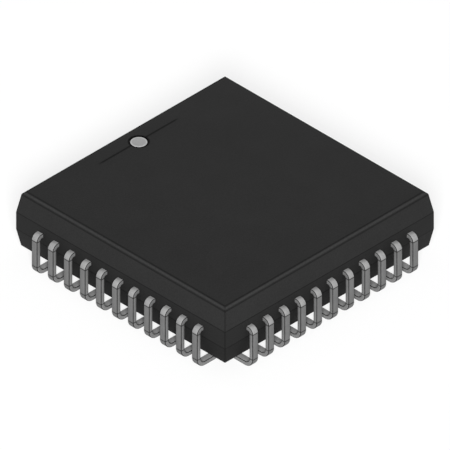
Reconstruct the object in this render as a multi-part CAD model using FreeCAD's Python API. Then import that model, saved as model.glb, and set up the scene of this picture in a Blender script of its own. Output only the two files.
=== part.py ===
import FreeCAD, Part
import math
import os

# A 44-lead plastic leaded chip carrier, in millimetres.
# The origin is the middle of the seating plane, at the soles of the feet, and +Z is up.
# Pin 1 is the middle lead of the +Y side. Pins count counter-clockwise, seen from above.
# Whatever belongs to one side is drawn on the +X side, with X running outward from the middle
# and Y along the row, and is then turned about Z to its own side.

# Row of leads
leads_per_side = 11
lead_pitch = 1.27
corner_margin = 1.94            # middle of the last lead to the corner of the body

# Moulded body, from the board upward
body_standoff = 0.86            # board to the underside
lower_wall_height = 1.15        # sloping wall below the band
band_height = 1.15              # upright band where the two mould halves part
upper_wall_height = 1.23        # sloping wall above the band
top_chamfer = 0.18              # narrow bevel round the top face
draft_angle = 10.0              # degrees by which the sloping walls lean in

# J-shaped leads, stamped from sheet and bent
lead_width = 0.44
lead_thickness = 0.27
lead_projection = 0.475         # band to the outer face of the leg
shoulder_bend_radius = 0.12     # inside radius where the lead turns down
foot_bend_radius = 0.35         # inside radius where it turns in under the body
tip_bend_radius = 0.18          # inside radius where it turns up into its pocket
flats_per_bend = 4              # a bend is drawn as a few flats, to keep 44 leads light
foot_reach = 1.85               # outer face of the leg to the far face of the tip
tip_engagement = 0.26           # height of tip that stands inside the pocket
pocket_clearance = 0.12         # room round the tip in its pocket

# Fingers, the part of each lead inside the moulding
finger_straight = 0.90          # length square to the wall before the finger slants
finger_tip_gap = 0.25           # space between neighbouring tips
finger_row_inset = 0.55         # corner of the paddle to the middle of the last tip
finger_to_paddle = 0.35         # space between the tips and the paddle

# Silicon die, its adhesive, and the paddle that carries both
die_width = 5.00
die_thickness = 0.38
adhesive_thickness = 0.03
adhesive_margin = 0.10          # adhesive squeezed out past each side of the die
paddle_margin = 0.80            # paddle past each side of the die
paddle_downset = 0.30           # top of the fingers down to the top of the paddle
tie_bar_width = 0.40
tie_bar_lead_out = 0.25         # level length between the paddle's corner and the ramp
tie_bar_ramp = 0.40             # horizontal length of the ramp
tie_bar_end_cover = 0.45        # moulding between the bar's end and the body's corner

# Gold bond wires
wire_diameter = 0.033
wire_loop_height = 0.18         # top of the loop above the die
wire_stitch_length = 0.12       # wedge-shaped end pressed on the finger
wire_stitch_inset = 0.20        # tip of the finger to the start of the stitch
bond_row_inset = 0.50           # corner of the die to the first bond pad
bond_edge_inset = 0.12          # edge of the die to the bond pads

# Index mark for pin 1, a shallow dimple with a dab of paint in it
index_dimple_diameter = 1.12
index_dimple_depth = 0.05
index_paint_rim = 0.08          # bare ring between the paint and the wall of the dimple
index_paint_thickness = 0.03
index_from_edge = 1.06          # middle of the mark to the edge of the top face

# Shallow round that the ejector pin leaves in the middle of the underside
ejector_diameter = 3.00
ejector_depth = 0.06

# Levels above the board
band_bottom = body_standoff + lower_wall_height
band_top = band_bottom + band_height
chamfer_bottom = band_top + upper_wall_height
body_top = chamfer_bottom + top_chamfer
finger_top = band_bottom + band_height / 2 + lead_thickness / 2
paddle_top = finger_top - paddle_downset
die_bottom = paddle_top + adhesive_thickness
die_top = die_bottom + die_thickness
tip_top = body_standoff + tip_engagement

# Distances from the middle
row_half_length = (leads_per_side - 1) / 2 * lead_pitch
band_half = row_half_length + corner_margin
underside_half = band_half - lower_wall_height * math.tan(math.radians(draft_angle))
chamfer_half = band_half - upper_wall_height * math.tan(math.radians(draft_angle))
top_half = chamfer_half - top_chamfer
leg_face = band_half + lead_projection
tip_face = leg_face - foot_reach
paddle_half = die_width / 2 + paddle_margin
finger_tip_place = paddle_half + finger_to_paddle
finger_bend_place = band_half - finger_straight

# Spacing of the finger tips and of the bond pads, both closer than the leads
finger_tip_pitch = 2 * (paddle_half - finger_row_inset) / (leads_per_side - 1)
finger_tip_width = finger_tip_pitch - finger_tip_gap
bond_pad_pitch = (die_width - 2 * bond_row_inset) / (leads_per_side - 1)

index_paint_diameter = index_dimple_diameter - 2 * index_paint_rim

lead_count = 4 * leads_per_side


def point(x, y, z=0.0):
    return FreeCAD.Vector(x, y, z)


def turned(shape, degrees):
    """A copy turned about the vertical axis through the middle."""
    copy = shape.copy()
    copy.rotate(point(0, 0), point(0, 0, 1), degrees)
    return copy


def square_plate(width, thickness, bottom):
    """A square plate about the middle, with its underside at the given level."""
    return Part.makeBox(width, width, thickness, point(-width / 2, -width / 2, bottom))


def square_outline(half_width, level):
    corners = [(1, 1), (-1, 1), (-1, -1), (1, -1), (1, 1)]
    return Part.makePolygon([point(half_width * x, half_width * y, level) for x, y in corners])


def disc(diameter, thickness, x, y, bottom):
    return Part.makeCylinder(diameter / 2, thickness, point(x, y, bottom))


def right_of(direction):
    """The direction a quarter turn to the right of one in the XZ plane."""
    return point(direction.z, 0, -direction.x)


def offset_path(points, distance):
    """A path of straight runs in the XZ plane, moved to the right of its travel."""
    runs = [(b - a).normalize() for a, b in zip(points, points[1:])]
    moved = [points[0] + right_of(runs[0]) * distance]
    for corner, before, after in zip(points[1:-1], runs, runs[1:]):
        middle = (right_of(before) + right_of(after)).normalize()
        moved.append(corner + middle * (distance / middle.dot(right_of(before))))
    moved.append(points[-1] + right_of(runs[-1]) * distance)
    return moved


def rounded_path(points, radii):
    """The corners of a path after each bend of a given radius is cut into flats."""
    rounded = [points[0]]
    for before, corner, after, radius in zip(points, points[1:], points[2:], radii):
        inward = (corner - before).normalize()
        outward = (after - corner).normalize()
        turn = inward.getAngle(outward)
        bend_start = corner - inward * (radius * math.tan(turn / 2))
        centre = bend_start + right_of(inward) * radius
        for flat in range(flats_per_bend + 1):
            turned_by = turn * flat / flats_per_bend
            along = inward * (radius * math.sin(turned_by))
            rounded.append(centre + along - right_of(inward) * (radius * math.cos(turned_by)))
    return rounded + [points[-1]]


def strip_between(outer, inner, width):
    """A strip with the given outer and inner paths in the XZ plane, centred on that plane."""
    outline = Part.makePolygon(outer + inner[::-1] + outer[:1])
    strip = Part.Face(outline).extrude(point(0, width, 0))
    strip.translate(point(0, -width / 2, 0))
    return strip


def side_and_place(pin):
    """The side that a pin is on, counted from the +Y side, and its place in that side's row."""
    position = pin - 1 + leads_per_side // 2
    side = (position // leads_per_side) % 4
    return side, position % leads_per_side


def from_row_middle(place, pitch):
    return (place - (leads_per_side - 1) / 2) * pitch


def on_its_side(shape, side):
    return turned(shape, 90 * (side + 1))


def make_finger(place):
    """The flat inner end of a lead, which slants from the wall towards the paddle."""
    root = from_row_middle(place, lead_pitch)
    tip = from_row_middle(place, finger_tip_pitch)
    corners = [
        point(finger_bend_place, root - lead_width / 2, finger_top),
        point(finger_bend_place, root + lead_width / 2, finger_top),
        point(finger_tip_place, tip + finger_tip_width / 2, finger_top),
        point(finger_tip_place, tip - finger_tip_width / 2, finger_top),
    ]
    outline = Part.makePolygon(corners + corners[:1])
    return Part.Face(outline).extrude(point(0, 0, -lead_thickness))


def make_lead(pin):
    """One lead: the finger in the moulding, the shoulder, the leg, the foot and the tip."""
    side, place = side_and_place(pin)
    outer_face = [
        point(finger_bend_place, 0, finger_top),
        point(leg_face, 0, finger_top),
        point(leg_face, 0, 0),
        point(tip_face, 0, 0),
        point(tip_face, 0, tip_top),
    ]
    inner_radii = [shoulder_bend_radius, foot_bend_radius, tip_bend_radius]
    outer_radii = [radius + lead_thickness for radius in inner_radii]
    inner_face = offset_path(outer_face, lead_thickness)
    outer_path = rounded_path(outer_face, outer_radii)
    inner_path = rounded_path(inner_face, inner_radii)
    strip = strip_between(outer_path, inner_path, lead_width)
    strip.translate(point(0, from_row_middle(place, lead_pitch), 0))
    lead = strip.fuse(make_finger(place)).removeSplitter()
    return on_its_side(lead.Solids[0], side)


def make_pocket(pin):
    """The well in the underside that the tip of a lead stands in."""
    side, place = side_and_place(pin)
    length = lead_thickness + 2 * pocket_clearance
    width = lead_width + 2 * pocket_clearance
    height = tip_engagement + pocket_clearance
    y = from_row_middle(place, lead_pitch) - width / 2
    pocket = Part.makeBox(length, width, height, point(tip_face - pocket_clearance, y, body_standoff))
    return on_its_side(pocket, side)


def make_tie_bar():
    """One arm of the paddle, drawn along X, that reaches out to a corner of the body."""
    paddle_corner = paddle_half * math.sqrt(2)
    ramp_start = paddle_corner + tie_bar_lead_out
    bar_end = band_half * math.sqrt(2) - tie_bar_end_cover
    top_face = [
        point(paddle_corner - tie_bar_width, 0, paddle_top),
        point(ramp_start, 0, paddle_top),
        point(ramp_start + tie_bar_ramp, 0, finger_top),
        point(bar_end, 0, finger_top),
    ]
    return strip_between(top_face, offset_path(top_face, lead_thickness), tie_bar_width)


def make_die_paddle():
    """The plate under the die, with a tie bar to each corner, all one stamping."""
    plate = square_plate(2 * paddle_half, lead_thickness, paddle_top - lead_thickness)
    tie_bar = make_tie_bar()
    bars = [turned(tie_bar, 45 + 90 * corner) for corner in range(4)]
    return plate.fuse(bars).removeSplitter().Solids[0]


def make_die_adhesive():
    return square_plate(die_width + 2 * adhesive_margin, adhesive_thickness, paddle_top)


def make_silicon_die():
    return square_plate(die_width, die_thickness, die_bottom)


def make_bond_wire(pin):
    """One wire from a pad on the die, up over its edge and down to a wedge on its finger.

    It is drawn square in section, because it is far too thin for a round one to matter.
    """
    side, place = side_and_place(pin)
    finger_length = finger_bend_place - finger_tip_place
    root = from_row_middle(place, lead_pitch)
    tip = from_row_middle(place, finger_tip_pitch)
    landing_y = tip + (root - tip) * wire_stitch_inset / finger_length
    start = point(die_width / 2 - bond_edge_inset, from_row_middle(place, bond_pad_pitch))
    landing = point(finger_tip_place + wire_stitch_inset, landing_y)
    span = (landing - start).Length
    loop_top = die_top + wire_loop_height
    outer_path = [
        point(-wire_diameter / 2, 0, die_top),
        point(-wire_diameter / 2, 0, loop_top),
        point(span + wire_stitch_length, 0, finger_top),
    ]
    inner_path = offset_path(outer_path, wire_diameter)[:2] + [point(span, 0, finger_top)]
    wire = strip_between(outer_path, inner_path, wire_diameter)
    heading = math.degrees(math.atan2(landing.y - start.y, landing.x - start.x))
    wire = turned(wire, heading)
    wire.translate(start)
    return on_its_side(wire, side)


def index_mark_place():
    return 0.0, top_half - index_from_edge


def make_index_paint():
    x, y = index_mark_place()
    return disc(index_paint_diameter, index_paint_thickness, x, y, body_top - index_dimple_depth)


def make_body_block():
    """The moulding's outer form: sloping walls, the upright band and the bevelled top."""
    outlines = [
        square_outline(underside_half, body_standoff),
        square_outline(band_half, band_bottom),
        square_outline(band_half, band_top),
        square_outline(chamfer_half, chamfer_bottom),
        square_outline(top_half, body_top),
    ]
    return Part.makeLoft(outlines, True, True)


def make_moulded_body(encapsulated):
    """The epoxy moulding, shaped exactly round everything that it encapsulates."""
    x, y = index_mark_place()
    dimple = disc(index_dimple_diameter, index_dimple_depth, x, y, body_top - index_dimple_depth)
    ejector_mark = disc(ejector_diameter, ejector_depth, 0, 0, body_standoff)
    pockets = [make_pocket(pin) for pin in range(1, lead_count + 1)]
    hollows = [dimple, ejector_mark] + pockets + encapsulated
    return make_body_block().cut(hollows).Solids[0]


def make_nodes():
    """Every piece of the chip carrier, by name."""
    pins = range(1, lead_count + 1)
    nodes = {f"lead_{pin:02d}": make_lead(pin) for pin in pins}
    wires = [make_bond_wire(pin) for pin in pins]
    inner_pieces = {
        "die_paddle": make_die_paddle(),
        "die_adhesive": make_die_adhesive(),
        "silicon_die": make_silicon_die(),
    }
    encapsulated = list(nodes.values()) + list(inner_pieces.values()) + wires
    nodes["moulded_body"] = make_moulded_body(encapsulated)
    nodes["index_paint"] = make_index_paint()
    nodes.update(inner_pieces)
    nodes["bond_wires"] = Part.makeCompound(wires)
    return nodes


def main():
    os.makedirs("parts", exist_ok=True)
    for name, shape in make_nodes().items():
        shape.exportStep(f"parts/{name}.step")
        print(name, len(shape.Solids), "solid", round(shape.Volume, 4), "mm3", shape.isValid())


main()
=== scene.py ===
# %% [markdown]
# A plastic leaded chip carrier, dressed for a close look.
# The real part is a square epoxy moulding with eleven tinned leads on every side, each bent into
# a J whose tip tucks up under the body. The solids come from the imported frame. This lesson gives
# the moulding its softened edges, the leads their smooth bends and plated skin, and every piece
# inside its own finish, and then lights them plainly.

# %% Load the frame
import math
import bmesh
import bpy
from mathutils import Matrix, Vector


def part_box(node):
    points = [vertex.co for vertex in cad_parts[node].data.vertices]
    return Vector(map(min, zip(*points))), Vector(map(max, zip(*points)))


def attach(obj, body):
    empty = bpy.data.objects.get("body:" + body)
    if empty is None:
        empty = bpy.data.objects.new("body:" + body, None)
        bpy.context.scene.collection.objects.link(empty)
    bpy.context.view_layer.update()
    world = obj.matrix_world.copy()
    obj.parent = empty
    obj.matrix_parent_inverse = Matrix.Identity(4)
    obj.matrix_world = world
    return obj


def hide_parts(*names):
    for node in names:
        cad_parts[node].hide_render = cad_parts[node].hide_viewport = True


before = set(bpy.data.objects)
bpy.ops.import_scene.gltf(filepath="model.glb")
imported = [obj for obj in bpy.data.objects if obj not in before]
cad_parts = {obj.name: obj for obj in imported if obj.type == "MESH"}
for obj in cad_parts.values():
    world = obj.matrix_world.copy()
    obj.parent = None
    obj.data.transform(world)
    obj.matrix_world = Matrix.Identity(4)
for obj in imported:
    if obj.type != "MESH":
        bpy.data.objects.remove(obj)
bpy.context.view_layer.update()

print("CAD nodes to dress:", len(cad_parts))

# %% [markdown]
# The whole part is under 18 mm across, and some of Blender's tools stop working well on shapes
# that small. So each piece is modelled a thousand times too large, with one unit for one
# millimetre, and is brought down to metres at the very end of its making.
#
# The frame gives the box of every CAD piece, and the places of most things follow from those
# boxes. The few sizes that no box gives are written out, and are the real ones.

# %% Sizes, in millimetres
METRE_PER_MM = 0.001


def box_mm(node):
    """Lowest and highest corner of a CAD node, in millimetres."""
    low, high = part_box(node)
    return low / METRE_PER_MM, high / METRE_PER_MM


body_low, body_high = box_mm("moulded_body")
pin_low, pin_high = box_mm("lead_01")
paddle_high = box_mm("die_paddle")[1]

BODY_HALF = body_high.x
BODY_BOTTOM = body_low.z
BODY_TOP = body_high.z
LEAD_WIDTH = pin_high.x - pin_low.x
LEAD_THICKNESS = 0.27
LEAD_TOP = paddle_high.z         # the paddle's tie bars end level with the tops of the leads

BAND_HEIGHT = 1.15
BAND_TOP = LEAD_TOP - LEAD_THICKNESS / 2 + BAND_HEIGHT / 2
BAND_BOTTOM = BAND_TOP - BAND_HEIGHT
TOP_CHAMFER = 0.18
BEVEL_BOTTOM = BODY_TOP - TOP_CHAMFER
DRAFT_SLOPE = math.tan(math.radians(10.0))
CHAMFER_HALF = BODY_HALF - (BEVEL_BOTTOM - BAND_TOP) * DRAFT_SLOPE
TOP_HALF = CHAMFER_HALF - TOP_CHAMFER
UNDERSIDE_HALF = BODY_HALF - (BAND_BOTTOM - BODY_BOTTOM) * DRAFT_SLOPE
print("body from", body_low, "to", body_high)
print("upright band from", round(BAND_BOTTOM, 3), "to", round(BAND_TOP, 3))

# %% [markdown]
# The moulding starts as a block the size of its upright band, the strip round the middle where the
# mould halves part. An operator acts on all that is selected, so everything else is deselected
# before a primitive is added, and its place and size are then settled in its mesh.

# %% The block of the body


def deselect_all():
    if bpy.context.object and bpy.context.object.mode != "OBJECT":
        bpy.ops.object.mode_set(mode="OBJECT")
    bpy.ops.object.select_all(action="DESELECT")


def only(piece):
    """Makes one object the selected and active one."""
    deselect_all()
    piece.select_set(True)
    bpy.context.view_layer.objects.active = piece


def settle(piece):
    """Moves an object's place, turn and scale into its mesh."""
    only(piece)
    bpy.ops.object.transform_apply(location=True, rotation=True, scale=True)


def add_box(low, high):
    """A block between two corners, ready to be shaped or used as a cutter."""
    low, high = Vector(low), Vector(high)
    deselect_all()
    bpy.ops.mesh.primitive_cube_add(size=1, location=(low + high) / 2)
    block = bpy.context.object
    block.scale = high - low
    settle(block)
    return block


body = add_box((-BODY_HALF, -BODY_HALF, BAND_BOTTOM), (BODY_HALF, BODY_HALF, BAND_TOP))
print("block of", round(2 * BODY_HALF, 3), "mm square")

# %% [markdown]
# The top face is pulled up and drawn in to make the sloping upper wall, then again for the bevel
# round the top, and the bottom face is pulled down for the lower wall. That is how the mould
# itself is cut: two drafted cavities that meet at the leads. Faces are chosen in code, by a test
# of their place and normal, as a hand would pick them with the mouse.

# %% Draw out the sloping walls
SNAP = 0.001


def select_faces(piece, test):
    """In edit mode, selects the faces that pass a test of their centre and normal."""
    mesh = bmesh.from_edit_mesh(piece.data)
    for face in mesh.faces:
        face.select_set(False)
    mesh.select_flush(False)
    for face in mesh.faces:
        if test(face.calc_center_median(), face.normal):
            face.select_set(True)
    bmesh.update_edit_mesh(piece.data)


def draw_out(piece, up, rise, new_share):
    """Extrudes the top or bottom face along Z and scales it about the Z axis."""
    end = max if up else min
    level = end(v.co.z for v in piece.data.vertices)
    only(piece)
    bpy.ops.object.mode_set(mode="EDIT")
    select_faces(piece, lambda centre, normal: abs(centre.z - level) < SNAP)
    bpy.ops.mesh.extrude_region_move(TRANSFORM_OT_translate={"value": (0, 0, rise)})
    bpy.ops.transform.resize(value=(new_share, new_share, 1), center_override=(0, 0, level + rise))
    bpy.ops.object.mode_set(mode="OBJECT")


draw_out(body, up=True, rise=BEVEL_BOTTOM - BAND_TOP, new_share=CHAMFER_HALF / BODY_HALF)
draw_out(body, up=True, rise=TOP_CHAMFER, new_share=TOP_HALF / CHAMFER_HALF)
draw_out(body, up=False, rise=BODY_BOTTOM - BAND_BOTTOM, new_share=UNDERSIDE_HALF / BODY_HALF)
print("top face", round(2 * TOP_HALF, 3), "mm square")

# %% [markdown]
# No mould edge is perfectly sharp. A Bevel modifier rounds every edge of the block by 0.03 mm,
# which is what turns a hard line into a thin glint or shadow. It comes before the wells and the
# dimple are cut, while the mesh is still a few clean quads.

# %% Round the block's edges
BODY_EDGE_ROUND = 0.03


def apply_modifier(piece, kind, **settings):
    only(piece)
    modifier = piece.modifiers.new(kind.title(), kind)
    for name, value in settings.items():
        setattr(modifier, name, value)
    bpy.ops.object.modifier_apply(modifier=modifier.name)


def round_edges(piece, width, segments, sharper_than):
    """Bevels every edge that turns by more than an angle in degrees."""
    apply_modifier(piece, "BEVEL", width=width, segments=segments, limit_method="ANGLE",
                   angle_limit=math.radians(sharper_than), use_clamp_overlap=True)


round_edges(body, BODY_EDGE_ROUND, segments=3, sharper_than=5)
print("block faces:", len(body.data.polygons))

# %% [markdown]
# Each lead ends in a tip that tucks up into a well of its own in the underside. The wells are cut
# with a Boolean modifier, and the cutter is deleted after the cut. Each well has room all round
# its tip, because the real lead springs a little. All the cutters are first joined into one,
# because one cut with many islands is quicker than many cuts.

# %% Cut a well for each tip
SIDES = 4
QUARTER_TURN = 90
LEADS_PER_SIDE = 11
LEAD_PITCH = 1.27
FOOT_REACH = 1.85                # outer face of the leg to the far face of the tip
TIP_FACE = pin_high.y - FOOT_REACH
TIP_ENGAGEMENT = 0.26
WELL_CLEARANCE = 0.12
OVERRUN = 0.2                    # how far a cutter stands out of the body


def row_place(place, pitch=LEAD_PITCH):
    """Distance of a lead from the middle of its row."""
    return (place - (LEADS_PER_SIDE - 1) / 2) * pitch


def turn_about_z(piece, degrees):
    piece.rotation_euler = (0, 0, math.radians(degrees))
    settle(piece)


def add_well_cutter(side, place):
    half_width = LEAD_WIDTH / 2 + WELL_CLEARANCE
    low = (TIP_FACE - WELL_CLEARANCE, row_place(place) - half_width, BODY_BOTTOM - OVERRUN)
    high = (
        TIP_FACE + LEAD_THICKNESS + WELL_CLEARANCE,
        row_place(place) + half_width,
        BODY_BOTTOM + TIP_ENGAGEMENT + WELL_CLEARANCE,
    )
    cutter = add_box(low, high)
    turn_about_z(cutter, QUARTER_TURN * side)
    return cutter


def joined(pieces):
    deselect_all()
    for piece in pieces:
        piece.select_set(True)
    bpy.context.view_layer.objects.active = pieces[0]
    bpy.ops.object.join()
    return bpy.context.object


def cut(piece, cutter):
    apply_modifier(piece, "BOOLEAN", operation="DIFFERENCE", solver="EXACT", object=cutter)
    bpy.data.objects.remove(cutter)


wells = [add_well_cutter(side, place) for side in range(SIDES) for place in range(LEADS_PER_SIDE)]
cut(body, joined(wells))
print("wells cut:", len(wells))

# %% [markdown]
# The mould also leaves two shallow rounds: the dimple for the index mark in the top face, and the
# mark that the ejector pin presses into the underside. Both are cut with upright cylinders. Then
# the body is shaded smoothly over its rounded edges and brought to its true size. Its object
# stays at the origin, unturned and unscaled, as a CAD node's does.

# %% Cut the dimple and the ejector mark
paint_low, paint_high = box_mm("index_paint")
paint_middle = (paint_low + paint_high) / 2
paint_radius = (paint_high.x - paint_low.x) / 2
DIMPLE_RIM = 0.08                # bare ring between the paint and the wall of the dimple
EJECTOR_DIAMETER = 3.00
EJECTOR_DEPTH = 0.06
DISC_CORNERS = 64


def add_disc(radius, x, y, bottom, top):
    """An upright cylinder between two heights."""
    deselect_all()
    bpy.ops.mesh.primitive_cylinder_add(vertices=DISC_CORNERS, radius=radius, depth=top - bottom,
                                        location=(x, y, (bottom + top) / 2))
    disc = bpy.context.object
    settle(disc)
    return disc


def smooth_below(piece, degrees):
    """Smooth shading over the bends, with sharp edges kept above an angle."""
    only(piece)
    bpy.ops.object.shade_smooth_by_angle(angle=math.radians(degrees))


def to_true_size(piece):
    """Brings a piece from one unit for a millimetre down to metres."""
    piece.scale = (METRE_PER_MM, METRE_PER_MM, METRE_PER_MM)
    settle(piece)


cut(body, add_disc(paint_radius + DIMPLE_RIM, paint_middle.x, paint_middle.y,
                   paint_low.z, BODY_TOP + OVERRUN))
cut(body, add_disc(EJECTOR_DIAMETER / 2, 0, 0, BODY_BOTTOM - OVERRUN, BODY_BOTTOM + EJECTOR_DEPTH))
smooth_below(body, degrees=25)
to_true_size(body)
print("body faces:", len(body.data.polygons))

# %% [markdown]
# Next comes the body's finish. Colours are written as they look on a screen, as sRGB hex values.
# Cycles works in linear light, so one function turns the first into the second. A second small
# function adds a shader node with its settings, and gives each input either a value or a link, so
# that a material reads from top to bottom. Every finish of the part starts from its Object
# coordinates, brought to millimetres, so that the size of a grain or a mark is a real one.

# %% Colours and nodes


def linear(hex_colour):
    """An sRGB colour such as 8A8A8A as linear red, green, blue and alpha, by the sRGB curve."""
    parts = [int(hex_colour[i:i + 2], 16) / 255 for i in (0, 2, 4)]
    return [p / 12.92 if p <= 0.04045 else ((p + 0.055) / 1.055) ** 2.4 for p in parts] + [1.0]


def add_node(owner, kind, inputs=None, **settings):
    """Adds a shader node with a value or a link for each input, and returns its outputs."""
    tree = owner.node_tree
    node = tree.nodes.new(kind)
    for name, value in settings.items():
        setattr(node, name, value)
    for name, value in (inputs or {}).items():
        if isinstance(value, bpy.types.NodeSocket):
            tree.links.new(value, node.inputs[name])
        else:
            node.inputs[name].default_value = value
    return node.outputs


def new_material(name):
    """A material with no nodes yet."""
    material = bpy.data.materials.new(name)
    material.use_nodes = True
    material.node_tree.nodes.clear()
    return material


def place_in_mm(material):
    """A material's Object coordinates, in millimetres."""
    place = add_node(material, "ShaderNodeTexCoord")["Object"]
    scale = (1 / METRE_PER_MM, 1 / METRE_PER_MM, 1 / METRE_PER_MM)
    return add_node(material, "ShaderNodeMapping", {"Vector": place, "Scale": scale})[0]


def finish(material, inputs):
    """Ends a material with its shader."""
    shader = add_node(material, "ShaderNodeBsdfPrincipled", inputs)
    add_node(material, "ShaderNodeOutputMaterial", {"Surface": shader[0]})
    return material


def finish_with_bump(material, tone, level, height, strength, depth, inputs):
    """Ends a material whose tone is scaled by a level, with a bump of a depth in millimetres."""
    colour = add_node(material, "ShaderNodeVectorMath", {0: tone, "Scale": level}, operation="SCALE")[0]
    bump = add_node(material, "ShaderNodeBump",
                    {"Height": height, "Strength": strength, "Distance": depth * METRE_PER_MM})[0]
    return finish(material, {"Base Color": colour, "Normal": bump, **inputs})


print("a mid grey of 8A8A8A is", round(linear("8A8A8A")[0], 3), "in linear light")

# %% [markdown]
# Real surfaces are speckled. A noise texture makes the speckles, and because it runs mostly
# between 0.3 and 0.7, it is spread out over each range that a finish asks of it, such as a tone
# and a roughness that go up and down together.
#
# Wear, lines and shades are drawn with masks. A mask is 1 where the mark lies and 0 elsewhere,
# with a soft change between, and the level that multiplies a finish's colour is scaled where all
# the masks of a mark are 1.

# %% Speckles and masks
NOISE_LOW = 0.3
NOISE_HIGH = 0.7
WHOLE_RANGE = (0, 1)
FINE = 3                                         # how many finer noises lie inside each speckle
SOFT = 2
FACTOR, FIRST_COLOUR, SECOND_COLOUR = 0, 6, 7    # a Mix node's inputs when it mixes colours
MIXED_COLOUR = 2                                 # and its output


def speckle(material, place, size, detail, *ranges):
    """A noise with speckles of a size in millimetres, and then the same noise over each range."""
    noise = add_node(material, "ShaderNodeTexNoise",
                     {"Vector": place, "Scale": 1 / size, "Detail": detail})[0]
    spread = []
    for low, high in ranges:
        ends = {"From Min": NOISE_LOW, "From Max": NOISE_HIGH, "To Min": low, "To Max": high}
        spread.append(add_node(material, "ShaderNodeMapRange", {"Value": noise, **ends})[0])
    return noise, *spread


def below(material, value, limit, fade):
    """1 where a value is under its limit, 0 where it is over, with a soft change between."""
    ends = {"From Min": limit - fade / 2, "From Max": limit + fade / 2, "To Min": 1.0, "To Max": 0.0}
    return add_node(material, "ShaderNodeMapRange", {"Value": value, **ends},
                    interpolation_type="SMOOTHSTEP")[0]


def within(material, value, low, high, fade):
    """1 where a value lies between two limits."""
    under_high = below(material, value, high, fade)
    under_low = below(material, value, low, fade)
    return add_node(material, "ShaderNodeMath", {0: under_high, 1: under_low}, operation="SUBTRACT")[0]


def scaled_where(material, level, share, mask, *more_masks):
    """A level that is multiplied by a share where every mask is 1."""
    for other in more_masks:
        mask = add_node(material, "ShaderNodeMath", {0: mask, 1: other}, operation="MULTIPLY")[0]
    factor = add_node(material, "ShaderNodeMath",
                      {0: mask, 1: share - 1, 2: 1.0}, operation="MULTIPLY_ADD")[0]
    return add_node(material, "ShaderNodeMath", {0: level, 1: factor}, operation="MULTIPLY")[0]


def distance_from_mark(material, place):
    """Distance from the middle of the index mark, once a Mapping node has moved the origin there."""
    centred = add_node(material, "ShaderNodeMapping", {"Vector": place, "Location": -paint_middle})[0]
    return add_node(material, "ShaderNodeVectorMath", {0: centred}, operation="LENGTH")["Value"]


print("masks near the index mark are measured from", paint_middle)

# %% [markdown]
# The moulding comes out of a steel mould, and the mould's parts leave marks on it. Fine dark lines
# run round both edges of the upright band, beside the bevel, and down the four corners. They are
# too shallow to model, so they are masks worked out from the place on the body. The larger of the
# distances from the two middle planes tells how near the top's rim a point is, and the difference
# between the two how near a corner.

# %% Lines that the mould leaves
MARK_FADE = 0.04
BAND_LINE_WIDTH = 0.05
BAND_LINE_SHARE = 0.35
BEVEL_LINE_OUT = 0.07
BEVEL_LINE_IN = 0.045
BEVEL_LINE_SHARE = 0.5
CORNER_LINE_WIDTH = 0.08
CORNER_LINE_SHARE = 0.7


def mould_lines(material, level, x, y, z):
    """Darkens a level round the band, beside the bevel and down the corners."""
    half_line = BAND_LINE_WIDTH / 2
    for edge in (BAND_BOTTOM, BAND_TOP):
        line = within(material, z, edge - half_line, edge + half_line, half_line)
        level = scaled_where(material, level, BAND_LINE_SHARE, line)
    east = add_node(material, "ShaderNodeMath", {0: x}, operation="ABSOLUTE")[0]
    north = add_node(material, "ShaderNodeMath", {0: y}, operation="ABSOLUTE")[0]
    farther = add_node(material, "ShaderNodeMath", {0: east, 1: north}, operation="MAXIMUM")[0]
    nearer = add_node(material, "ShaderNodeMath", {0: east, 1: north}, operation="MINIMUM")[0]
    off_corner = add_node(material, "ShaderNodeMath", {0: farther, 1: nearer}, operation="SUBTRACT")[0]
    under_bevel = within(
        material, z, BEVEL_BOTTOM - BEVEL_LINE_OUT, BEVEL_BOTTOM + BEVEL_LINE_IN, MARK_FADE)
    top_rim = within(
        material, farther, TOP_HALF - BEVEL_LINE_OUT, TOP_HALF + BEVEL_LINE_IN, MARK_FADE)
    near_top = within(material, z, BODY_TOP - TOP_CHAMFER / 2, BODY_TOP + MARK_FADE, MARK_FADE)
    corner = below(material, off_corner, CORNER_LINE_WIDTH, MARK_FADE)
    on_walls = within(material, z, BODY_BOTTOM + MARK_FADE, BODY_TOP - MARK_FADE, MARK_FADE)
    level = scaled_where(material, level, BEVEL_LINE_SHARE, under_bevel)
    level = scaled_where(material, level, BEVEL_LINE_SHARE, top_rim, near_top)
    return scaled_where(material, level, CORNER_LINE_SHARE, corner, on_walls)


print("lines beside a bevel from", round(BEVEL_BOTTOM, 3), "to", round(BODY_TOP, 3))

# %% [markdown]
# Two streams of resin met behind the index mark, which leaves a thin dark flow line on both sides
# of it that fades out at its ends. The dimple and the lip round it are darkened as much, as painted
# shade in the recess.

# %% The flow line and the painted shade in the dimple
FLOW_LINE_SHIFT = 0.03
FLOW_LINE_WIDTH = 0.11
FLOW_LINE_REACH = 3.05
FLOW_LINE_FADE = 0.5
DARK_LIP = 0.15
# share for the dark flow line and for the painted shade in the dimple
FLOW_LINE_AND_DIMPLE_SHADE_SHARE = 0.06


def flow_marks(material, level, place, x, y):
    """Darkens a level along the flow line, and paints shade in the dimple and round it."""
    middle = paint_middle.y + FLOW_LINE_SHIFT
    half_line = FLOW_LINE_WIDTH / 2
    across = within(material, y, middle - half_line, middle + half_line, FLOW_LINE_WIDTH)
    along = within(material, x, -FLOW_LINE_REACH, FLOW_LINE_REACH, FLOW_LINE_FADE)
    level = scaled_where(material, level, FLOW_LINE_AND_DIMPLE_SHADE_SHARE, across, along)
    # Painted shade in the dimple and on the lip round it.
    dimple = below(material, distance_from_mark(material, place), paint_radius + DARK_LIP, DARK_LIP / 2)
    return scaled_where(material, level, FLOW_LINE_AND_DIMPLE_SHADE_SHARE, dimple)


print("flow line reaches", FLOW_LINE_REACH, "mm to each side")
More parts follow.
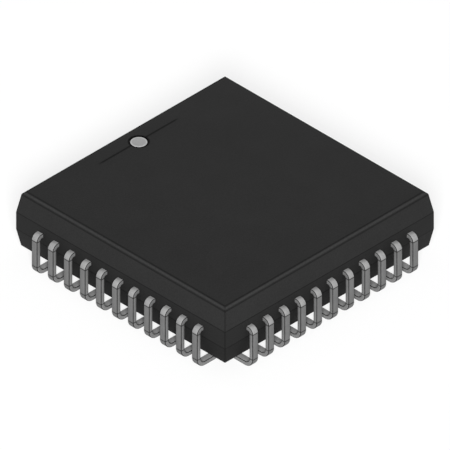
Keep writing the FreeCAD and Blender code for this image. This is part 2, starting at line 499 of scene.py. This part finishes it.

# %% [markdown]
# The moulding is a black epoxy compound: about four fifths of it is ground silica, bound by resin
# and blackened with carbon. Pressed against a spark-eroded mould it comes out matt and very dark
# grey, with a grain of some hundredths of a millimetre and faint cloudy patches where the resin
# flowed. The grain is drawn 0.09 mm across, coarser than the real 0.03 mm, so that it shows. The
# ground silica at the surface scatters most of what would be a shine, so the specular level is far
# below that of a glossy plastic. The grain moves the tone, the roughness and the bump together,
# because on the real surface they are one thing. The bevel and the upper wall, which face the
# light more, get a painted highlight, and the lower wall, which leans away from it, gets painted
# shade that makes it darker than the band.
#
# A finished piece then gets its name and finish, rides on the part's one body, and stands for its
# CAD node, which is hidden.

# %% Black epoxy moulding compound
COMPOUND_GRAIN = 0.09
COMPOUND_TONES = (0.82, 1.10)
COMPOUND_ROUGHNESS = (0.54, 0.62)
COMPOUND_CLOUDS = 2.4
COMPOUND_BUMP = 0.01
# painted highlight on the bevel and the upper wall, painted shade on the lower wall
BEVEL_PAINTED_HIGHLIGHT = 1.72
UPPER_WALL_PAINTED_LIGHT = 1.26
LOWER_WALL_PAINTED_SHADE = 0.83


def make_moulding_compound():
    material = new_material("black_epoxy_moulding_compound")
    place = place_in_mm(material)
    x, y, z = add_node(material, "ShaderNodeSeparateXYZ", {"Vector": place})
    grain, level, roughness = speckle(
        material, place, COMPOUND_GRAIN, FINE, COMPOUND_TONES, COMPOUND_ROUGHNESS)
    cloudy = speckle(material, place, COMPOUND_CLOUDS, SOFT, WHOLE_RANGE)[1]
    tone = add_node(
        material, "ShaderNodeMix",
        {FACTOR: cloudy, FIRST_COLOUR: linear("242424"), SECOND_COLOUR: linear("262626")},
        data_type="RGBA")[MIXED_COLOUR]
    lower_wall = below(material, z, BAND_BOTTOM, MARK_FADE)
    upper_wall = within(material, z, BAND_TOP, BEVEL_BOTTOM, MARK_FADE)
    bevel = within(material, z, BEVEL_BOTTOM, BODY_TOP - MARK_FADE / 2, MARK_FADE)
    # Painted shade darkens the lower wall; painted highlights lighten the upper wall and the bevel.
    level = scaled_where(material, level, LOWER_WALL_PAINTED_SHADE, lower_wall)
    level = scaled_where(material, level, UPPER_WALL_PAINTED_LIGHT, upper_wall)
    level = scaled_where(material, level, BEVEL_PAINTED_HIGHLIGHT, bevel)
    level = mould_lines(material, level, x, y, z)
    level = flow_marks(material, level, place, x, y)
    return finish_with_bump(material, tone, level, grain, strength=0.5, depth=COMPOUND_BUMP, inputs={
        "Roughness": roughness,
        "IOR": 1.5,
        "Specular IOR Level": 0.05,
    })


def dress(piece, name, node, material):
    """Names a finished piece, gives it its finish, and says which CAD node it stands for."""
    piece.name = name
    piece.data.name = name
    piece.data.materials.clear()
    piece.data.materials.append(material)
    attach(piece, "root")
    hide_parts(node)


moulding_compound = make_moulding_compound()
dress(body, "epoxy_body", "moulded_body", moulding_compound)
print("moulding compound:", len(moulding_compound.node_tree.nodes), "nodes")

# %% [markdown]
# A lead is a flat strip, stamped from sheet and bent three times. It is modelled the same way: a
# thin block at the inner end of the finger, whose end face is extruded along each straight run
# and spun round each bend. Spinning gives a bend of even thickness, which scaling or moving
# points by hand would not. One pattern lead is made on the +X side, and all 44 are copies of it.

# %% Bend one lead
LEG_FACE = pin_high.y
FINGER_TIP = pin_low.y
FINGER_STRAIGHT = 0.90           # length square to the wall before the finger slants
FINGER_BEND = BODY_HALF - FINGER_STRAIGHT
SHOULDER_RADIUS = 0.12 + LEAD_THICKNESS          # outer radii: inside radius and strip thickness
FOOT_RADIUS = 0.35 + LEAD_THICKNESS
TIP_RADIUS = 0.18 + LEAD_THICKNESS
SHOULDER_START = LEAD_TOP - SHOULDER_RADIUS
STEPS_PER_BEND = 10
FACING = 0.9                     # a normal's share along an axis, for a face that looks that way


def extrude_end(direction, length):
    """Extrudes the selected end face along a direction."""
    bpy.ops.mesh.extrude_region_move(TRANSFORM_OT_translate={"value": Vector(direction) * length})


def spin_end(centre):
    """Spins the selected end face a quarter turn about an axis along Y through a centre."""
    bpy.ops.mesh.spin(steps=STEPS_PER_BEND, angle=math.radians(QUARTER_TURN), center=centre,
                      axis=(0, -1, 0))


def bend_lead():
    lead = add_box((FINGER_TIP, -LEAD_WIDTH / 2, LEAD_TOP - LEAD_THICKNESS),
                   (FINGER_BEND, LEAD_WIDTH / 2, LEAD_TOP))
    bpy.ops.object.mode_set(mode="EDIT")
    bpy.ops.mesh.select_mode(type="FACE")
    select_faces(lead, lambda centre, normal: normal.x > FACING)
    extrude_end((1, 0, 0), LEG_FACE - SHOULDER_RADIUS - FINGER_BEND)
    spin_end((LEG_FACE - SHOULDER_RADIUS, 0, SHOULDER_START))
    extrude_end((0, 0, -1), SHOULDER_START - FOOT_RADIUS)
    spin_end((LEG_FACE - FOOT_RADIUS, 0, FOOT_RADIUS))
    extrude_end((-1, 0, 0), LEG_FACE - FOOT_RADIUS - TIP_FACE - TIP_RADIUS)
    spin_end((TIP_FACE + TIP_RADIUS, 0, TIP_RADIUS))
    extrude_end((0, 0, 1), BODY_BOTTOM + TIP_ENGAGEMENT - TIP_RADIUS)
    bpy.ops.mesh.select_all(action="SELECT")
    bpy.ops.mesh.remove_doubles(threshold=SNAP / 2)
    bpy.ops.mesh.normals_make_consistent(inside=False)
    bpy.ops.object.mode_set(mode="OBJECT")
    return lead


pattern_lead = bend_lead()
lead_reach = [round(max(v.co[i] for v in pattern_lead.data.vertices), 3) for i in range(3)]
print("pattern lead reaches", lead_reach, "mm with", len(pattern_lead.data.vertices), "points")

# %% [markdown]
# The leads are a copper alloy, plated with matt tin after the body is moulded. Tin straight from
# the bath is a soft pale grey, finely frosted, and a little streaked along the strip where the
# rolled metal beneath it shows through. With Metallic at 1 it would mirror the white room and the
# black body, as polished tin does. The frosted skin scatters most of the light instead, so
# Metallic is 0.3 here and a grey base colour does the rest, with the IOR left alone.
#
# The strip also keeps the marks of its tools: the bending tool leaves a dark mark across the strip
# at both ends of the straight leg. The shoulder, which faces up into the light, is painted pale as
# a painted highlight. The flanks are painted paler than the rolled faces, and the inner face of the
# foot, which the leg and body shade, is painted brightest: both are painted light over their shade.
# Plating is thin on the rounded edges, and they show dark. These last three follow the shape of the
# strip, so they are read from attributes that the next cell puts on each lead.

# %% Matt tin plate
TIN_FROST = 0.05
TIN_ROUGHNESS = (0.42, 0.56)
TIN_CLOUDS = 0.7
CLOUD_TONES = (0.95, 1.05)
TIN_STREAKS = 0.06
STREAK_TONES = (0.93, 1.07)
STREAK_SQUEEZE = 0.08            # Z is squeezed to this share, which draws the streaks out along it
TIN_BUMP = 0.004
# fade of the painted highlight on the shoulder
SHOULDER_HIGHLIGHT_FADE = 0.06
# painted light that lifts the shaded flanks
FLANK_PAINTED_LIGHT = 1.35
# painted light that lifts the shaded inside of the foot
INSIDE_FOOT_PAINTED_LIGHT = 2.0
EDGE_SHARE = 0.1
TOOL_MARK_WIDTH = 0.07
TOOL_MARK_SHARE = 0.2


def make_tin_plate():
    material = new_material("matt_tin_plate")
    place = place_in_mm(material)
    height = add_node(material, "ShaderNodeSeparateXYZ", {"Vector": place})["Z"]
    flank = add_node(material, "ShaderNodeAttribute", attribute_name="flank")["Fac"]
    inside = add_node(material, "ShaderNodeAttribute", attribute_name="inside")["Fac"]
    edge = add_node(material, "ShaderNodeAttribute", attribute_name="edge")["Fac"]
    frost, roughness = speckle(material, place, TIN_FROST, FINE, TIN_ROUGHNESS)
    cloudy = speckle(material, place, TIN_CLOUDS, SOFT, CLOUD_TONES)[1]
    drawn_out = add_node(material, "ShaderNodeMapping",
                         {"Vector": place, "Scale": (1, 1, STREAK_SQUEEZE)})[0]
    streaky = speckle(material, drawn_out, TIN_STREAKS, SOFT, STREAK_TONES)[1]
    below_shoulder = below(material, height, SHOULDER_START, SHOULDER_HIGHLIGHT_FADE)
    outside_shoulder_highlight = add_node(material, "ShaderNodeMath", {0: below_shoulder, 1: flank}, operation="MAXIMUM")[0]
    # 949494 is a painted highlight on the shoulder; below it and on the flanks the tin is 737373.
    tone = add_node(
        material, "ShaderNodeMix",
        {FACTOR: outside_shoulder_highlight, FIRST_COLOUR: linear("949494"), SECOND_COLOUR: linear("737373")},
        data_type="RGBA")[MIXED_COLOUR]
    level = add_node(material, "ShaderNodeMath", {0: cloudy, 1: streaky}, operation="MULTIPLY")[0]
    # Painted light on the flanks, over the shade that the neighbouring leads cast.
    level = scaled_where(material, level, FLANK_PAINTED_LIGHT, flank)
    # Painted light inside the foot, where the leg and the body shade it.
    level = scaled_where(material, level, INSIDE_FOOT_PAINTED_LIGHT, inside)
    level = scaled_where(material, level, EDGE_SHARE, edge)
    half_mark = TOOL_MARK_WIDTH / 2
    for bend_start in (SHOULDER_START, FOOT_RADIUS):
        tool_mark = within(material, height, bend_start - half_mark, bend_start + half_mark, half_mark)
        level = scaled_where(material, level, TOOL_MARK_SHARE, tool_mark)
    return finish_with_bump(material, tone, level, frost, strength=0.35, depth=TIN_BUMP, inputs={
        "Roughness": roughness,
        "Metallic": 0.3,
        "Specular IOR Level": 0.2,
        "Specular Tint": linear("BCBCBC"),
    })


tin_plate = make_tin_plate()
print("tin plate:", len(tin_plate.node_tree.nodes), "nodes")

# %% [markdown]
# Each copy first has the inner end of its finger narrowed and moved towards the middle of its
# row. Stamping rounds a strip's edges a little, and plating rounds them more, so a Bevel modifier
# then rounds them by 0.035 mm. While the lead still stands on the +X side, its faces are marked
# for the tin plate to read: sheared flanks, rounded edges, and faces that look in to the heart of
# the foot's bend. Last it is turned to its own side and gets its pin's number. Pin 1 is the middle
# lead of the +Y side, and the count runs counter-clockwise, seen from above.

# %% Copy the lead round the body
FINGER_TIP_PITCH = 0.55
FINGER_TIP_WIDTH = 0.30
LEAD_EDGE_ROUND = 0.035
SQUARE_ON = 0.99                 # a flank's normal has more than this share along Y
FLAT_ON = 0.1                    # and the strip's rolled faces have less than this


def slant_finger(lead, place):
    """Narrows the inner end of a finger and moves it to its place in the row of tips."""
    only(lead)
    bpy.ops.object.mode_set(mode="EDIT")
    select_faces(lead, lambda centre, normal: centre.x < FINGER_TIP + SNAP)
    bpy.ops.transform.resize(value=(1, FINGER_TIP_WIDTH / LEAD_WIDTH, 1),
                             center_override=(FINGER_TIP, 0, 0))
    bpy.ops.transform.translate(value=(0, row_place(place, FINGER_TIP_PITCH) - row_place(place), 0))
    bpy.ops.object.mode_set(mode="OBJECT")


def mark_faces(lead):
    """Stores on each face whether it is a flank, a rounded edge, or on the inside of the foot."""
    flank = lead.data.attributes.new("flank", "FLOAT", "FACE")
    edge = lead.data.attributes.new("edge", "FLOAT", "FACE")
    inside = lead.data.attributes.new("inside", "FLOAT", "FACE")
    heart = Vector((LEG_FACE - FOOT_RADIUS, 0, FOOT_RADIUS))
    for face in lead.data.polygons:
        sideways = abs(face.normal.y)
        looks_in = face.normal.dot(heart - face.center) > 0 and face.center.z < FOOT_RADIUS
        flank.data[face.index].value = float(sideways > SQUARE_ON)
        edge.data[face.index].value = float(FLAT_ON < sideways <= SQUARE_ON and face.center.x > FINGER_BEND)
        inside.data[face.index].value = float(sideways < FLAT_ON and looks_in)


def make_lead(pin):
    position = pin - 1 + LEADS_PER_SIDE // 2
    side = (position // LEADS_PER_SIDE) % SIDES
    place = position % LEADS_PER_SIDE
    only(pattern_lead)
    bpy.ops.object.duplicate()
    lead = bpy.context.object
    slant_finger(lead, place)
    round_edges(lead, LEAD_EDGE_ROUND, segments=2, sharper_than=40)
    mark_faces(lead)
    lead.location.y = row_place(place)
    settle(lead)
    turn_about_z(lead, QUARTER_TURN * (side + 1))
    smooth_below(lead, degrees=35)
    to_true_size(lead)
    dress(lead, f"plated_lead_{pin:02d}", f"lead_{pin:02d}", tin_plate)
    return lead


leads = [make_lead(pin) for pin in range(1, SIDES * LEADS_PER_SIDE + 1)]
bpy.data.objects.remove(pattern_lead)
print("leads:", len(leads), "faces each:", len(leads[0].data.polygons))

# %% [markdown]
# The dab of paint is a flat disc with a soft shoulder and a slightly sunken middle. It starts as
# a cylinder, its top face is inset twice and the inner part lowered, and a Bevel modifier rounds
# its outer edge, as surface tension does.

# %% The dab of index paint
PAINT_RIM_SHARE = 0.16
PAINT_SLOPE_SHARE = 0.14
PAINT_SINK = 0.008
PAINT_EDGE_ROUND = 0.012


def make_paint_dab():
    dab = add_disc(paint_radius, paint_middle.x, paint_middle.y, paint_low.z, paint_high.z)
    bpy.ops.object.mode_set(mode="EDIT")
    bpy.ops.mesh.select_mode(type="FACE")
    select_faces(dab, lambda centre, normal: normal.z > FACING)
    bpy.ops.mesh.inset(thickness=paint_radius * PAINT_RIM_SHARE)
    bpy.ops.mesh.inset(thickness=paint_radius * PAINT_SLOPE_SHARE)
    bpy.ops.transform.translate(value=(0, 0, -PAINT_SINK))
    bpy.ops.object.mode_set(mode="OBJECT")
    round_edges(dab, PAINT_EDGE_ROUND, segments=3, sharper_than=40)
    smooth_below(dab, degrees=50)
    to_true_size(dab)
    return dab


paint_dab = make_paint_dab()
print("paint dab", round(2 * paint_radius, 3), "mm across, faces:", len(paint_dab.data.polygons))

# %% [markdown]
# The index mark is a pale grey paint, faintly mottled. Paint that dries in a dish is thickest at
# its rim, so the rim is a shade lighter than the middle. The distance from the mark's own middle
# tells the two apart.

# %% Pale index paint
PAINT_MOTTLE = 0.12
PAINT_TONES = (0.94, 1.06)
PAINT_ROUGHNESS = (0.55, 0.70)
PAINT_BUMP = 0.01
RIM_START = 0.84                 # share of the radius where the thicker rim begins
RIM_FADE = 0.16


def make_index_paint():
    material = new_material("pale_grey_index_paint")
    place = place_in_mm(material)
    distance = distance_from_mark(material, place)
    thin_middle = below(material, distance, paint_radius * RIM_START, paint_radius * RIM_FADE)
    mottle, level, roughness = speckle(material, place, PAINT_MOTTLE, FINE, PAINT_TONES, PAINT_ROUGHNESS)
    tone = add_node(
        material, "ShaderNodeMix",
        {FACTOR: thin_middle, FIRST_COLOUR: linear("ABABAB"), SECOND_COLOUR: linear("949494")},
        data_type="RGBA")[MIXED_COLOUR]
    return finish_with_bump(material, tone, level, mottle, strength=0.2, depth=PAINT_BUMP, inputs={
        "Roughness": roughness,
        "IOR": 1.48,
        "Specular IOR Level": 0.3,
    })


index_paint = make_index_paint()
dress(paint_dab, "paint_dab", "index_paint", index_paint)
print("index paint:", len(index_paint.node_tree.nodes), "nodes")

# %% [markdown]
# The pieces inside the moulding are never seen on a whole part, but each has its real finish for
# anyone who opens the model. The paddle is bare rolled copper, warm and softly bright. The adhesive
# is an epoxy filled with silver flakes, pale grey and dull. The die is polished silicon, blue-grey
# and shiny, and the wires are drawn gold. One function makes all four, because they differ only in
# two tones, the size of their grain and how they take the light. Their CAD shapes are right as
# they are, so these nodes keep their own meshes and only get a better material.

# %% Finishes of the inner pieces


def dress_inner(node_name, material_name, tones, grain_size, rough, metallic):
    material = new_material(material_name)
    _, mixing, roughness = speckle(
        material, place_in_mm(material), grain_size, FINE, WHOLE_RANGE, rough)
    tone = add_node(
        material, "ShaderNodeMix",
        {FACTOR: mixing, FIRST_COLOUR: linear(tones[0]), SECOND_COLOUR: linear(tones[1])},
        data_type="RGBA")[MIXED_COLOUR]
    finish(material, {"Base Color": tone, "Roughness": roughness, "Metallic": metallic})
    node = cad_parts[node_name]
    node.data.materials.clear()
    node.data.materials.append(material)
    print(node_name, "dressed in", material_name)


dress_inner("die_paddle", "rolled_copper", tones=("B87558", "C98465"),
            grain_size=0.3, rough=(0.28, 0.40), metallic=1.0)
dress_inner("die_adhesive", "silver_filled_epoxy", tones=("A9A9A6", "C2C2BE"),
            grain_size=0.05, rough=(0.50, 0.70), metallic=0.0)
dress_inner("silicon_die", "polished_silicon", tones=("555B66", "626974"),
            grain_size=0.4, rough=(0.10, 0.18), metallic=0.6)
dress_inner("bond_wires", "drawn_gold", tones=("E0B64E", "EFC765"),
            grain_size=0.2, rough=(0.15, 0.25), metallic=1.0)

# %% [markdown]
# The photograph is an isometric view: every level edge of the square body is drawn at thirty
# degrees. An orthographic camera that looks along the diagonal of a cube, from 45 degrees round and
# 35.26 degrees up, gives exactly that. Its scale is the width of the picture in metres, from
# 17.84 pixels for each millimetre, and it aims about half way up the part.

# %% The camera
PICTURE_SIZE = 450
PIXELS_PER_MM = 17.84
CAMERA_DISTANCE = 0.2
AIM_HEIGHT = 0.002257
isometric = Vector((-1, -1, 1)).normalized()
camera_data = bpy.data.cameras.new("isometric_camera")
camera_data.type = "ORTHO"
camera_data.ortho_scale = PICTURE_SIZE / PIXELS_PER_MM * METRE_PER_MM
camera_data.clip_start = 0.01
camera_data.clip_end = 10
camera = bpy.data.objects.new("isometric_camera", camera_data)
camera.location = Vector((0, 0, AIM_HEIGHT)) + isometric * CAMERA_DISTANCE
camera.rotation_euler = isometric.to_track_quat("Z", "Y").to_euler()
bpy.context.scene.collection.objects.link(camera)
bpy.context.scene.camera = camera
print("picture width", round(camera_data.ortho_scale, 5), "m")

# %% [markdown]
# The floor is a plain pale sheet. What the camera sees of it, straight or in a reflection, is
# three quarters its own white glow and one quarter lit white paper, so the background is white
# and the part still lays a soft shadow on it. For light that the floor scatters back it is a
# quiet grey paper, so that it doesn't fill the shaded lower walls. Light Path tells the shader
# which ray is asking.

# %% The floor
FLOOR_SIZE = 4.0
FLOOR_GLOW = 0.75


def seen_directly(owner):
    """1 for what the camera sees, straight or in a mirror or through glass, and 0 for other light."""
    rays = add_node(owner, "ShaderNodeLightPath")
    seen = add_node(owner, "ShaderNodeMath",
                    {0: rays["Is Camera Ray"], 1: rays["Is Glossy Ray"]}, operation="MAXIMUM")[0]
    return add_node(owner, "ShaderNodeMath",
                    {0: seen, 1: rays["Is Transmission Ray"]}, operation="MAXIMUM")[0]


def make_floor_paper():
    material = new_material("white_paper_floor")
    seen = seen_directly(material)
    tone = add_node(
        material, "ShaderNodeMix",
        {FACTOR: seen, FIRST_COLOUR: linear("8A8A8A"), SECOND_COLOUR: linear("FFFFFF")},
        data_type="RGBA")[MIXED_COLOUR]
    paper = add_node(material, "ShaderNodeBsdfDiffuse", {"Color": tone})[0]
    glow = add_node(material, "ShaderNodeEmission", {"Color": linear("FFFFFF"), "Strength": 1.0})[0]
    glow_share = add_node(material, "ShaderNodeMath", {0: seen, 1: FLOOR_GLOW}, operation="MULTIPLY")[0]
    surface = add_node(material, "ShaderNodeMixShader", {0: glow_share, 1: paper, 2: glow})[0]
    add_node(material, "ShaderNodeOutputMaterial", {"Surface": surface})
    return material


deselect_all()
bpy.ops.mesh.primitive_plane_add(size=FLOOR_SIZE, location=(0, 0, 0))
floor = bpy.context.object
floor.name = "floor"
floor.data.materials.append(make_floor_paper())
print("floor", FLOOR_SIZE, "m square")

# %% [markdown]
# The light is a plain soft studio. One panel stands behind the camera, in the plane that halves
# the view, so both visible sides of the body take the same light, as they do in the photograph.
# Two weak low panels at the back keep the far sides readable in other views without a haze on the
# top face.

# %% The light panels
PANEL_DISTANCE = 1.0


def add_panel(name, azimuth, elevation, size, watts):
    """A square area light that faces the origin. Azimuth 0 stands on the -Y side."""
    around = math.radians(azimuth)
    up = math.radians(elevation)
    direction = Vector((math.sin(around) * math.cos(up), -math.cos(around) * math.cos(up), math.sin(up)))
    data = bpy.data.lights.new(name, "AREA")
    data.shape = "SQUARE"
    data.size = size
    data.energy = watts
    panel = bpy.data.objects.new(name, data)
    panel.location = direction * PANEL_DISTANCE
    panel.rotation_euler = direction.to_track_quat("Z", "Y").to_euler()
    bpy.context.scene.collection.objects.link(panel)
    print(name, watts, "W")


add_panel("key_panel", azimuth=-45, elevation=31, size=0.2, watts=14.0)
add_panel("back_right_panel", azimuth=92, elevation=8, size=0.4, watts=3.0)
add_panel("back_left_panel", azimuth=178, elevation=8, size=0.4, watts=3.0)

# %% [markdown]
# The world is a quiet grey for the light it sends, and white where the camera or a reflection sees
# it. The Standard view shows each colour about as it is written.

# %% The world
AMBIENT_STRENGTH = 0.5
studio = bpy.data.worlds.new("white_studio")
studio.use_nodes = True
studio.node_tree.nodes.clear()
ambient = add_node(studio, "ShaderNodeBackground",
                   {"Color": linear("BFBFBF"), "Strength": AMBIENT_STRENGTH})[0]
backdrop = add_node(studio, "ShaderNodeBackground", {"Color": linear("FFFFFF"), "Strength": 1.0})[0]
sky = add_node(studio, "ShaderNodeMixShader", {0: seen_directly(studio), 1: ambient, 2: backdrop})[0]
add_node(studio, "ShaderNodeOutputWorld", {"Surface": sky})
bpy.context.scene.world = studio
bpy.context.scene.view_settings.view_transform = "Standard"
print("ambient light at", AMBIENT_STRENGTH)
